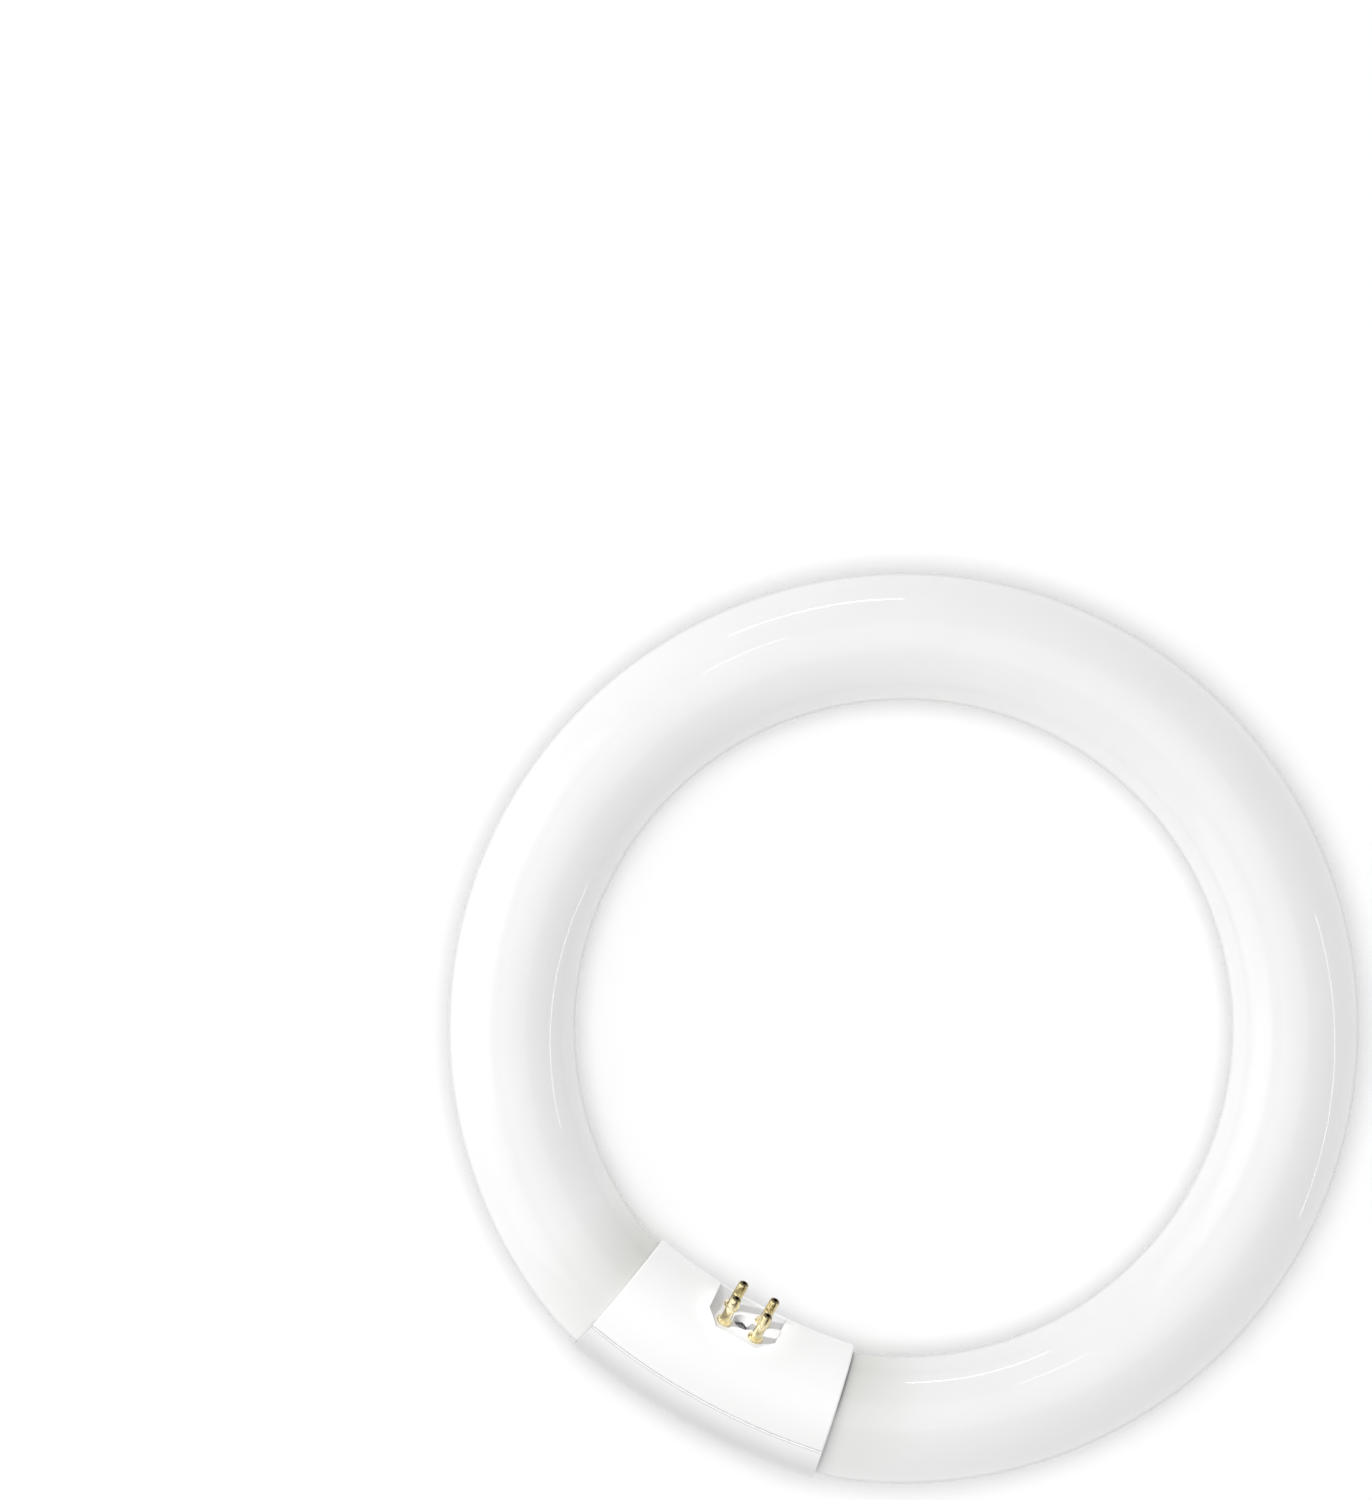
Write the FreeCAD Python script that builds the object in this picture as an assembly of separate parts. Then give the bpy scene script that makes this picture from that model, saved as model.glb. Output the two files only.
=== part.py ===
import FreeCAD, Part
import math
import os

# Circular fluorescent tube with a four-pin cap. All sizes are in millimetres and degrees.
# The ring's centre is the origin, the ring lies in the XY plane and the cap is at -Y.
# The pins point toward the ring's centre and lean to +Z.

# Glass ring
RING_OUTER_DIAMETER = 205.0
TUBE_DIAMETER = 29.0
BASE_BEND_RADIUS = 144.0
SHOULDER_BEND_RADIUS = 28.0
SHOULDER_OFFSET = 0.5
RIM_ROUNDING = 3.0
MOUTH_ROUNDING = 0.8
RIM_FLAT = 2.1
STEM_THROAT_RADIUS = 4.9
STEM_DEPTH = 12.0
STEM_THROAT_LENGTH = 2.4
EXHAUST_RADIUS = 1.9
EXHAUST_LENGTH = 7.0

# Cap shells
CAP_HALF_LENGTH = 27.7
CAP_WALL = 1.0
CAP_CLEARANCE = 0.15
CAP_END_ROUNDING = 0.45
SEAM_GROOVE = 0.25
LIP_HEIGHT = 1.2
LIP_THICKNESS = 0.45
LIP_CLEARANCE = 0.05
RIB_WIDTH = 1.4
RIB_END_ANGLE = 14.0
PIN_LEAN = 33.5

# Recess for the pins
RECESS_HALF_WIDTH = 8.4
RECESS_FRONT = 7.4
RECESS_CORNER = 3.3
RECESS_DEPTH = 2.65
RECESS_WALL = 1.0
PAD_THICKNESS = 1.4
PAD_TO_GLASS = 1.2

# Contact pins
PIN_PITCH_ALONG = 7.92
PIN_PITCH_ACROSS = 6.35
PIN_DIAMETER = 2.4
PIN_LENGTH = 7.4
PIN_BORE_DIAMETER = 0.9
PIN_HOLE_CLEARANCE = 0.02
FLANGE_WIDTH = 0.6
FLANGE_HEIGHT = 0.7
RIVET_WIDTH = 0.45
RIVET_HEIGHT = 0.45
DIMPLE_HEIGHT = 4.4
DIMPLE_TURN = 30.0
DIMPLE_RADIUS = 0.6
DIMPLE_DEPTH = 0.25
CRIMP_RADIUS = 0.25

# Screw that clamps the two shells
SCREW_SHANK_DIAMETER = 1.6
SCREW_THREAD_FIT = 0.01
SCREW_HOLE_CLEARANCE = 0.15
SCREW_HEAD_RADIUS = 1.4
SCREW_HEAD_HEIGHT = 0.95
SCREW_SEAT_MARGIN = 0.15
SCREW_SLOT_WIDTH = 0.4
SCREW_SLOT_DEPTH = 0.5
SCREW_SLOT_REACH = 1.0
SCREW_REACH = 11.0
SCREW_POINT = 0.8
SCREW_TIP_RADIUS = 0.4
SCREW_HOLE_SPARE = 1.5
SINK_WIDTH = 0.85
SINK_DEPTH = 1.75
BOSS_WALL = 1.75
BOSS_GAP = 0.1

# Lead wires
WIRE_DIAMETER = 0.6
WIRE_BEND_RADIUS = 2.2
WIRE_LEVEL = 0.8
WIRE_TIP_SETBACK = 0.9

# Values that follow from the sizes above
TUBE_RADIUS = TUBE_DIAMETER / 2
STEM_MOUTH_RADIUS = TUBE_RADIUS - RIM_ROUNDING - RIM_FLAT
RING_RADIUS = RING_OUTER_DIAMETER / 2 - TUBE_RADIUS
CAP_BORE_RADIUS = TUBE_RADIUS + CAP_CLEARANCE
CAP_RADIUS = CAP_BORE_RADIUS + CAP_WALL
CAP_ANGLE = math.degrees(math.asin(CAP_HALF_LENGTH / BASE_BEND_RADIUS))
BASE_ANGLE = CAP_ANGLE + math.degrees(SHOULDER_OFFSET / BASE_BEND_RADIUS)
FLOOR = CAP_RADIUS - RECESS_DEPTH
PAD_UNDERSIDE = FLOOR - PAD_THICKNESS
PAD_HALF_WIDTH = RECESS_HALF_WIDTH + RECESS_WALL
PIN_RADIUS = PIN_DIAMETER / 2
PIN_BORE_RADIUS = PIN_BORE_DIAMETER / 2
SCREW_SHANK_RADIUS = SCREW_SHANK_DIAMETER / 2
WIRE_RADIUS = WIRE_DIAMETER / 2
SCREW_PILOT_RADIUS = SCREW_SHANK_RADIUS + SCREW_THREAD_FIT
BOSS_RADIUS = SCREW_PILOT_RADIUS + BOSS_WALL
INNER_BEND_RADIUS = BASE_BEND_RADIUS - TUBE_RADIUS
GLASS_END_ANGLE = math.degrees(math.asin((PAD_HALF_WIDTH + PAD_TO_GLASS) / INNER_BEND_RADIUS))
DIAGONAL = math.sqrt(0.5)
OVERCUT = 1.0  # how far a cutting body runs past the face that it opens
LEAN_COS = math.cos(math.radians(PIN_LEAN))
LEAN_SIN = math.sin(math.radians(PIN_LEAN))
UP = FreeCAD.Vector(0, 0, 1)
ALONG = FreeCAD.Vector(1, 0, 0)
PIN_AXIS = FreeCAD.Vector(0, LEAN_COS, LEAN_SIN)
PIN_SIDE = FreeCAD.Vector(0, -LEAN_SIN, LEAN_COS)


def shoulder_centre():
    """Centre of the shoulder bend, tangent to the ring and to the base bend, in a frame at the origin."""
    inner = RING_RADIUS - SHOULDER_BEND_RADIUS
    outer = BASE_BEND_RADIUS - SHOULDER_BEND_RADIUS
    across = outer * math.sin(math.radians(BASE_ANGLE))
    down = math.sqrt(inner ** 2 - across ** 2)
    return across, -down


def base_bend_centre_y():
    """Height of the base bend's centre above the ring's centre."""
    outer = BASE_BEND_RADIUS - SHOULDER_BEND_RADIUS
    return shoulder_centre()[1] + outer * math.cos(math.radians(BASE_ANGLE))


BEND_Y = base_bend_centre_y()
CAP_Y = BEND_Y - BASE_BEND_RADIUS


def cap_point(x, side, height):
    """A point in the cap's own directions: along the ring, across the pins, along the pins."""
    return FreeCAD.Vector(x, CAP_Y, 0) + PIN_SIDE * side + PIN_AXIS * height


def turned(shape, angle):
    """A copy turned about the axis of the base bend."""
    copy = shape.copy()
    copy.rotate(FreeCAD.Vector(0, BEND_Y, 0), UP, angle)
    return copy


def bent_solid(face, start, end):
    """The solid that a section of the cap sweeps along the base bend."""
    return turned(face, start).revolve(FreeCAD.Vector(0, BEND_Y, 0), UP, end - start)


def full_length(face):
    """A section swept past both ends of the cap, for cutting."""
    past = math.degrees(OVERCUT / INNER_BEND_RADIUS)
    return bent_solid(face, -CAP_ANGLE - past, CAP_ANGLE + past)


def section_point(radius, angle):
    """A point of the cap's middle section, at an angle from the seam toward the pins."""
    turn = math.radians(angle)
    return cap_point(0, radius * math.cos(turn), radius * math.sin(turn))


def section_arc(radius, start, end):
    """An arc of the cap's middle section."""
    middle = section_point(radius, (start + end) / 2)
    return Part.Arc(section_point(radius, start), middle, section_point(radius, end)).toShape()


def sector_face(inner, outer, start, end):
    """A part of a round wall in the cap's middle section."""
    edges = [
        section_arc(inner, start, end),
        Part.makeLine(section_point(inner, end), section_point(outer, end)),
        section_arc(outer, end, start),
        Part.makeLine(section_point(outer, start), section_point(inner, start)),
    ]
    return Part.Face(Part.Wire(edges))


def disc_solid(radius, start, end):
    """The full round body of the cap, without a bore."""
    circle = Part.Circle(cap_point(0, 0, 0), ALONG, radius)
    return bent_solid(Part.Face(Part.Wire(circle.toShape())), start, end)


def polygon_face(points):
    """A flat face with straight edges."""
    return Part.Face(Part.makePolygon(points + [points[0]]))


def merged(shape, pieces):
    """One solid out of a shape and the pieces that touch it."""
    return shape.fuse(pieces).removeSplitter()


def tube_arc(centre_x, centre_y, bend, start, end):
    """A round bar bent about a vertical axis, between two angles from -Y."""
    turn = math.radians(start)
    centre = FreeCAD.Vector(centre_x, centre_y, 0)
    middle = centre + FreeCAD.Vector(math.sin(turn), -math.cos(turn), 0) * bend
    tangent = FreeCAD.Vector(math.cos(turn), math.sin(turn), 0)
    circle = Part.Circle(middle, tangent, TUBE_RADIUS).toShape()
    return Part.Face(Part.Wire(circle)).revolve(centre, UP, end - start)


def glass_end():
    """Centre of the right glass end and the direction from there into the glass."""
    turn = math.radians(GLASS_END_ANGLE)
    out = FreeCAD.Vector(math.sin(turn), -math.cos(turn), 0)
    centre = FreeCAD.Vector(0, BEND_Y, 0) + out * BASE_BEND_RADIUS
    return centre, FreeCAD.Vector(math.cos(turn), math.sin(turn), 0)


def edges_at(shape, centre, radius):
    """The round edges of a shape with this centre and radius."""
    found = []
    for edge in shape.Edges:
        curve = edge.Curve
        if isinstance(curve, Part.Circle):
            near = curve.Center.distanceToPoint(centre) < 1e-4
            if near and abs(curve.Radius - radius) < 1e-4:
                found.append(edge)
    return found


def stem_recess():
    """The cone-shaped hollow where the end of the tube turns inward to the wire seal."""
    centre, inward = glass_end()
    lead_in = STEM_DEPTH - STEM_THROAT_LENGTH
    cone = Part.makeCone(STEM_MOUTH_RADIUS, STEM_THROAT_RADIUS, lead_in, centre, inward)
    throat = Part.makeCylinder(STEM_THROAT_RADIUS, STEM_DEPTH, centre, inward)
    return cone.fuse(throat)


def glass_end_piece():
    """The part of the glass on the base bend, with its rounded rim and stem recess."""
    bar = tube_arc(0, BEND_Y, BASE_BEND_RADIUS, GLASS_END_ANGLE, BASE_ANGLE)
    centre, inward = glass_end()
    rounded = bar.makeFillet(RIM_ROUNDING, edges_at(bar, centre, TUBE_RADIUS))
    hollow = rounded.cut(stem_recess())
    return hollow.makeFillet(MOUTH_ROUNDING, edges_at(hollow, centre, STEM_MOUTH_RADIUS))


def exhaust_stub():
    """The closed stub of the pumping tube that stands in one stem recess."""
    centre, inward = glass_end()
    root = centre + inward * STEM_DEPTH
    straight = EXHAUST_LENGTH - EXHAUST_RADIUS
    tube = Part.makeCylinder(EXHAUST_RADIUS, straight, root, inward * -1)
    tip = Part.makeSphere(EXHAUST_RADIUS, root - inward * straight)
    return tube.fuse(tip)


def glass_tube():
    """The whole glass ring, closed at both ends."""
    across, down = shoulder_centre()
    ring_angle = math.degrees(math.atan2(across, -down))
    ring = tube_arc(0, 0, RING_RADIUS, ring_angle, 360 - ring_angle)
    shoulder = tube_arc(across, down, SHOULDER_BEND_RADIUS, BASE_ANGLE, ring_angle)
    right = [shoulder, glass_end_piece()]
    left = [piece.mirror(FreeCAD.Vector(0, 0, 0), FreeCAD.Vector(1, 0, 0)) for piece in right]
    return merged(ring, right + left + [exhaust_stub()])


def shell_wall(start, end):
    """One half of the cap's round wall, with the outer edges of both ends rounded."""
    wall = bent_solid(sector_face(CAP_BORE_RADIUS, CAP_RADIUS, start, end), -CAP_ANGLE, CAP_ANGLE)
    rims = []
    for angle in (-CAP_ANGLE, CAP_ANGLE):
        middle = Part.Vertex(cap_point(0, 0, 0))
        rims += edges_at(wall, turned(middle, angle).Point, CAP_RADIUS)
    return wall.makeFillet(CAP_END_ROUNDING, rims)


def seam_grooves():
    """Two thin V-shaped rings along the outer edges of the seam."""
    outside = CAP_RADIUS + OVERCUT
    half_width = SEAM_GROOVE + OVERCUT
    rings = []
    for way in (1, -1):
        points = [
            cap_point(0, way * (CAP_RADIUS - SEAM_GROOVE), 0),
            cap_point(0, way * outside, half_width),
            cap_point(0, way * outside, -half_width),
        ]
        rings.append(full_length(polygon_face(points)))
    return rings


def lip_faces(thickness, height):
    """Sections of the overlap on both sides of the seam."""
    angle = math.degrees(height / CAP_BORE_RADIUS)
    inner = CAP_BORE_RADIUS
    outer = CAP_BORE_RADIUS + thickness
    return [sector_face(inner, outer, 0, angle), sector_face(inner, outer, 180 - angle, 180)]


def grip_ribs(start, end):
    """Thin ribs on the bore that rest on the glass, two to a shell."""
    half = math.degrees(RIB_WIDTH / 2 / BASE_BEND_RADIUS)
    middle = (GLASS_END_ANGLE + CAP_ANGLE) / 2
    outer = CAP_BORE_RADIUS + CAP_WALL / 2
    face = sector_face(TUBE_RADIUS, outer, start + RIB_END_ANGLE, end - RIB_END_ANGLE)
    return [bent_solid(face, at - half, at + half) for at in (-middle, middle)]


def recess_outline(grow):
    """Outline of the recess at the seam's level: open toward the ring's centre, corners cut in front."""
    half = RECESS_HALF_WIDTH + grow
    front = RECESS_FRONT + grow
    corner = RECESS_CORNER + grow * (2 - math.sqrt(2))
    back = -CAP_RADIUS - OVERCUT
    return [
        cap_point(-half, back, 0),
        cap_point(half, back, 0),
        cap_point(half, front - corner, 0),
        cap_point(half - corner, front, 0),
        cap_point(corner - half, front, 0),
        cap_point(-half, front - corner, 0),
    ]


def recess_prism(grow, low, high):
    """The recess outline as a block along the pins' direction."""
    face = polygon_face(recess_outline(grow))
    face.translate(PIN_AXIS * low)
    return face.extrude(PIN_AXIS * (high - low))


def pin_places():
    """Names and places of the four pins, seen with the pins toward the eye."""
    along = PIN_PITCH_ALONG / 2
    across = PIN_PITCH_ACROSS / 2
    return {
        "front_left": (-along, across),
        "front_right": (along, across),
        "rear_left": (-along, -across),
        "rear_right": (along, -across),
    }


def pin_holes():
    """The four holes through the pad."""
    radius = PIN_RADIUS + PIN_HOLE_CLEARANCE
    depth = PAD_THICKNESS + 2 * OVERCUT
    return [
        Part.makeCylinder(radius, depth, cap_point(x, side, PAD_UNDERSIDE - OVERCUT), PIN_AXIS)
        for x, side in pin_places().values()
    ]


def screw_hole():
    """Countersink in the recess floor and the clearance hole below it."""
    head = SCREW_HEAD_RADIUS + SCREW_SEAT_MARGIN
    seat = FLOOR - SINK_DEPTH
    radius = SCREW_SHANK_RADIUS + SCREW_HOLE_CLEARANCE
    sink = Part.makeCone(head, head + SINK_WIDTH, SINK_DEPTH, cap_point(0, 0, seat), PIN_AXIS)
    hole = Part.makeCylinder(radius, FLOOR, cap_point(0, 0, 0), PIN_AXIS)
    return sink.fuse(hole)


def pin_shell():
    """The half of the cap that carries the pins, with its recess, pad and screw boss."""
    wall = shell_wall(0, 180)
    block = recess_prism(RECESS_WALL, PAD_UNDERSIDE, CAP_RADIUS + OVERCUT)
    pad = block.common(disc_solid(CAP_RADIUS, -CAP_ANGLE, CAP_ANGLE))
    boss_height = PAD_UNDERSIDE + PAD_THICKNESS / 2 - BOSS_GAP
    boss = Part.makeCylinder(BOSS_RADIUS, boss_height, cap_point(0, 0, BOSS_GAP), PIN_AXIS)
    body = merged(wall, [pad, boss] + grip_ribs(0, 180))
    rebate_faces = lip_faces(LIP_THICKNESS + LIP_CLEARANCE, LIP_HEIGHT + LIP_CLEARANCE)
    rebates = [full_length(face) for face in rebate_faces]
    recess = recess_prism(0, FLOOR, CAP_RADIUS + OVERCUT)
    return body.cut([recess, screw_hole()] + pin_holes() + rebates + seam_grooves())


def back_shell():
    """The half of the cap behind the pins, with the lips and the boss that takes the screw."""
    wall = shell_wall(180, 360)
    lip_sections = lip_faces(LIP_THICKNESS, LIP_HEIGHT)
    lips = [bent_solid(face, -CAP_ANGLE, CAP_ANGLE) for face in lip_sections]
    depth = CAP_BORE_RADIUS + CAP_WALL / 2
    boss = Part.makeCylinder(BOSS_RADIUS, depth, cap_point(0, 0, -depth), PIN_AXIS)
    body = merged(wall, lips + [boss] + grip_ribs(180, 360))
    reach = SCREW_REACH + SCREW_HOLE_SPARE
    pilot = Part.makeCylinder(SCREW_PILOT_RADIUS, reach, cap_point(0, 0, -reach), PIN_AXIS)
    return body.cut([pilot] + seam_grooves())


def revolved(profile, x, side, base):
    """A body of revolution about a pin direction.

    Each profile point is a radius and a height. A point with four values is reached by an arc through
    the middle point that its last two values give.
    """
    edges = []
    for start, end in zip(profile, profile[1:] + profile[:1]):
        first = cap_point(x + start[0], side, base + start[1])
        last = cap_point(x + end[0], side, base + end[1])
        if len(end) == 4:
            middle = cap_point(x + end[2], side, base + end[3])
            edges.append(Part.Arc(first, middle, last).toShape())
        else:
            edges.append(Part.makeLine(first, last))
    face = Part.Face(Part.Wire(edges))
    return face.revolve(cap_point(x, side, 0), PIN_AXIS, 360)


def rounded_to(radius, height, width, rise):
    """The end of a rounding that turns inward over a width while it climbs a rise to this height."""
    return radius, height, radius + width * DIAGONAL, height - rise * (1 - DIAGONAL)


def pin_profile():
    """Half section of a hollow pin: riveted tail, flange, shaft and rounded tip."""
    tail = -PAD_THICKNESS - RIVET_HEIGHT
    rivet = PIN_RADIUS + RIVET_WIDTH
    flange = PIN_RADIUS + FLANGE_WIDTH
    edge = FLANGE_HEIGHT / 2
    dome = PIN_RADIUS - PIN_BORE_RADIUS
    return [
        (PIN_BORE_RADIUS, tail),
        (rivet - RIVET_WIDTH / 2, tail),
        (rivet, tail + RIVET_HEIGHT / 2),
        (rivet, -PAD_THICKNESS),
        (PIN_RADIUS, -PAD_THICKNESS),
        (PIN_RADIUS, 0),
        (flange, 0),
        (flange, FLANGE_HEIGHT - edge),
        rounded_to(flange - edge, FLANGE_HEIGHT, edge, edge),
        (PIN_RADIUS, FLANGE_HEIGHT),
        (PIN_RADIUS, PIN_LENGTH - dome),
        rounded_to(PIN_BORE_RADIUS, PIN_LENGTH, dome, dome),
    ]


def contact_pin(x, side):
    """One hollow pin with the small dent that presses on its wire."""
    body = revolved(pin_profile(), x, side, FLOOR)
    level = FLOOR + DIMPLE_HEIGHT
    turn = math.radians(DIMPLE_TURN)
    reach = PIN_RADIUS - DIMPLE_DEPTH + DIMPLE_RADIUS
    punch_place = cap_point(x - reach * math.sin(turn), side + reach * math.cos(turn), level)
    punch = Part.makeSphere(DIMPLE_RADIUS, punch_place)
    rest = WIRE_RADIUS + CRIMP_RADIUS
    bump_place = cap_point(x - rest * math.sin(turn), side + rest * math.cos(turn), level)
    bump = Part.makeSphere(CRIMP_RADIUS, bump_place)
    return merged(body.cut(punch), [bump])


def slot_block(half_along, half_across, top):
    """A block that cuts one arm of the cross slot down from the top of the screw's head."""
    level = top - SCREW_SLOT_DEPTH
    corners = [
        cap_point(half_along, half_across, level),
        cap_point(-half_along, half_across, level),
        cap_point(-half_along, -half_across, level),
        cap_point(half_along, -half_across, level),
    ]
    return polygon_face(corners).extrude(PIN_AXIS * (SCREW_SLOT_DEPTH + OVERCUT))


def clamp_screw():
    """The cross-slot screw that pulls the two shells together."""
    seat = FLOOR - SINK_DEPTH
    top = seat + SCREW_HEAD_HEIGHT
    crown = SCREW_HEAD_HEIGHT / 2
    profile = [
        (0, -SCREW_REACH),
        (SCREW_TIP_RADIUS, -SCREW_REACH),
        (SCREW_SHANK_RADIUS, SCREW_POINT - SCREW_REACH),
        (SCREW_SHANK_RADIUS, seat),
        (SCREW_HEAD_RADIUS, seat),
        (SCREW_HEAD_RADIUS, top - crown),
        rounded_to(0, top, SCREW_HEAD_RADIUS, crown),
    ]
    body = revolved(profile, 0, 0, 0)
    slots = [
        slot_block(SCREW_SLOT_REACH, SCREW_SLOT_WIDTH / 2, top),
        slot_block(SCREW_SLOT_WIDTH / 2, SCREW_SLOT_REACH, top),
    ]
    return body.cut(slots)


def lead_wire(x, side):
    """A wire from the glass end, round one bend and up through its pin."""
    way = 1 if x > 0 else -1
    centre, inward = glass_end()
    inward.x *= way
    centre.x *= way
    corner = cap_point(x, side, WIRE_LEVEL)
    depth = (centre - corner).dot(inward) + STEM_DEPTH
    start = corner + inward * depth
    end = cap_point(x, side, FLOOR + PIN_LENGTH - WIRE_TIP_SETBACK)
    spread = math.radians(180) - inward.getAngle(PIN_AXIS)
    setback = WIRE_BEND_RADIUS * math.tan(spread / 2)
    first = corner + inward * setback
    last = corner + PIN_AXIS * setback
    inner = (inward + PIN_AXIS).normalize()
    bend_centre = corner + inner * (WIRE_BEND_RADIUS / math.cos(spread / 2))
    middle = bend_centre - inner * WIRE_BEND_RADIUS
    path = Part.Wire([
        Part.makeLine(start, first),
        Part.Arc(first, middle, last).toShape(),
        Part.makeLine(last, end),
    ])
    ring = Part.Wire(Part.Circle(start, inward, WIRE_RADIUS).toShape())
    return path.makePipeShell([ring], True, False)


def save(name, shape):
    """Write one piece after checking that it is a single closed solid."""
    solid = shape.Solids[0]
    if len(shape.Solids) != 1 or not solid.isValid():
        raise ValueError(name + " is not one valid solid")
    solid.exportStep("parts/" + name + ".step")
    print(name, "volume", round(solid.Volume, 2), "faces", len(solid.Faces))


os.makedirs("parts", exist_ok=True)
save("glass_tube", glass_tube())
save("pin_shell", pin_shell())
save("back_shell", back_shell())
save("clamp_screw", clamp_screw())
for place, (place_x, place_side) in pin_places().items():
    save("pin_" + place, contact_pin(place_x, place_side))
    save("lead_" + place, lead_wire(place_x, place_side))
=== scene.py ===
"""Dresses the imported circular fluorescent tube: glass ring, split cap, contact pins, screw and wires.

Sizes are in millimetres and degrees. Only the lamps, their targets and the camera's height are in metres.
The meshes are metres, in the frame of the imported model: the ring's centre is the origin, the ring lies in
the XY plane and the cap is at -Y.
"""

import logging
import math
from dataclasses import dataclass, field, replace
from enum import Enum

import bpy
import numpy as np
from mathutils import Matrix, Vector

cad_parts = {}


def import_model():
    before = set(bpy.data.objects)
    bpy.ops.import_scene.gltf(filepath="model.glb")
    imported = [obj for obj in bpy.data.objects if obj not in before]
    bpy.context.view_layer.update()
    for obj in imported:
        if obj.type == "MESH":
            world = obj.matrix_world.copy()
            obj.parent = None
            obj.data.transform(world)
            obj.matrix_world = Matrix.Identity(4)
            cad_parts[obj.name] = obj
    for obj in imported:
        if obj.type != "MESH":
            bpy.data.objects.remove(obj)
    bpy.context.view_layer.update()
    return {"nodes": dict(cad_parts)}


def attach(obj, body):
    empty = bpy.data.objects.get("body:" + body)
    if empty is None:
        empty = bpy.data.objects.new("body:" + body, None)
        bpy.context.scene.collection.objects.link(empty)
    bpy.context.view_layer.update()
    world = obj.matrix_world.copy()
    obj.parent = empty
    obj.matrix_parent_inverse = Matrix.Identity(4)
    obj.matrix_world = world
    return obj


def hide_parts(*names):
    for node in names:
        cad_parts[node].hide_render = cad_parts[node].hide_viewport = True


MM = 0.001
BODY = "root"
LOG = logging.getLogger("circular_tube")
Array = np.ndarray
Socket = bpy.types.NodeSocket
Color = tuple[float, float, float, float]
Point = tuple[float, float, float]
Value = Socket | float | Color | Point
BLACK: Color = (0.0, 0.0, 0.0, 1.0)
WHITE: Color = (1.0, 1.0, 1.0, 1.0)


class Slot(Enum):
    """The record's material slots that the new pieces take."""

    COATED_GLASS = "coated_glass"
    PIN_BRASS = "pin_brass"


class PinPlace(Enum):
    """The four pins, as seen with the pins toward the eye: sign along the cap, sign across it."""

    FRONT_LEFT = (-1, 1)
    FRONT_RIGHT = (1, 1)
    REAR_LEFT = (-1, -1)
    REAR_RIGHT = (1, -1)

    @property
    def node(self) -> str:
        """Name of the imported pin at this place."""
        return "pin_" + self.name.lower()

    @property
    def lead(self) -> str:
        """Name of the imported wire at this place."""
        return "lead_" + self.name.lower()


# Meshes


@dataclass
class Grid:
    """A surface on a grid of two parameters: rows along it, columns round it.

    The columns always close on themselves. The rows do with close_rows, and pole_ends shuts both ends.
    """

    points: Array
    values: dict[str, Array] = field(default_factory=dict)
    close_rows: bool = False
    pole_ends: bool = False

    def corners(self) -> tuple[Array, Array]:
        """Work out the vertices and the quads. A vertex has the number row * columns + column.

        Returns:
            The vertex positions and, for each quad, its four vertex numbers.
        """
        rows, columns = self.points.shape[:2]
        row = np.arange(rows if self.close_rows else rows - 1)[:, None]
        column = np.arange(columns)[None, :]
        after_row = (row + 1) % rows
        after_column = (column + 1) % columns
        quads = np.stack(
            [
                row * columns + column,
                row * columns + after_column,
                after_row * columns + after_column,
                after_row * columns + column,
            ],
            axis=-1,
        )
        return self.points.reshape(-1, 3), quads.reshape(-1, 4)

    def caps(self) -> Array:
        """Close both ends round one pole each. The two poles follow the grid's own vertices.

        Returns:
            The three vertex numbers of each triangle.
        """
        rows, columns = self.points.shape[:2]
        column = np.arange(columns)
        after = (column + 1) % columns
        first = np.full(columns, rows * columns)
        last = first + 1
        base = (rows - 1) * columns
        start = np.stack([first, after, column], axis=-1)
        end = np.stack([last, base + column, base + after], axis=-1)
        return np.concatenate([start, end])

    def wrap(self) -> Array:
        """Unroll the surface: u is column / columns and v is row / rows.

        Returns:
            The UV of each quad corner.
        """
        rows, columns = self.points.shape[:2]
        count = rows if self.close_rows else rows - 1
        row = np.arange(count)[:, None] + np.array([0, 0, 1, 1])[None, :]
        column = np.arange(columns)[:, None] + np.array([0, 1, 1, 0])[None, :]
        u = np.broadcast_to(column[None] / columns, (count, columns, 4))
        v = np.broadcast_to(row[:, None] / rows, (count, columns, 4))
        return np.stack([u, v], axis=-1).reshape(-1, 2)


def signed_volume(points: Array, faces: Array) -> float:
    """Add up a . (b x c) over the faces of a closed mesh, and a . (c x d) where they have four corners.

    Args:
        points: Vertex positions.
        faces: Three or four vertex numbers of each face.

    Returns:
        Six times the volume inside, below 0 where the faces point inward.
    """
    a, b, c = (points[faces[:, k]] for k in (0, 1, 2))
    total = np.einsum("ij,ij->", a, np.cross(b, c))
    if faces.shape[1] == 4:
        d = points[faces[:, 3]]
        total += np.einsum("ij,ij->", a, np.cross(c, d))
    return float(total)


def linked(name: str, data: bpy.types.ID) -> bpy.types.Object:
    """Make an object and link it to the scene.

    Args:
        name: Name of the new object.
        data: Its mesh, lamp or camera.

    Returns:
        The object, at the origin.
    """
    obj = bpy.data.objects.new(name, data)
    bpy.context.scene.collection.objects.link(obj)
    return obj


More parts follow.
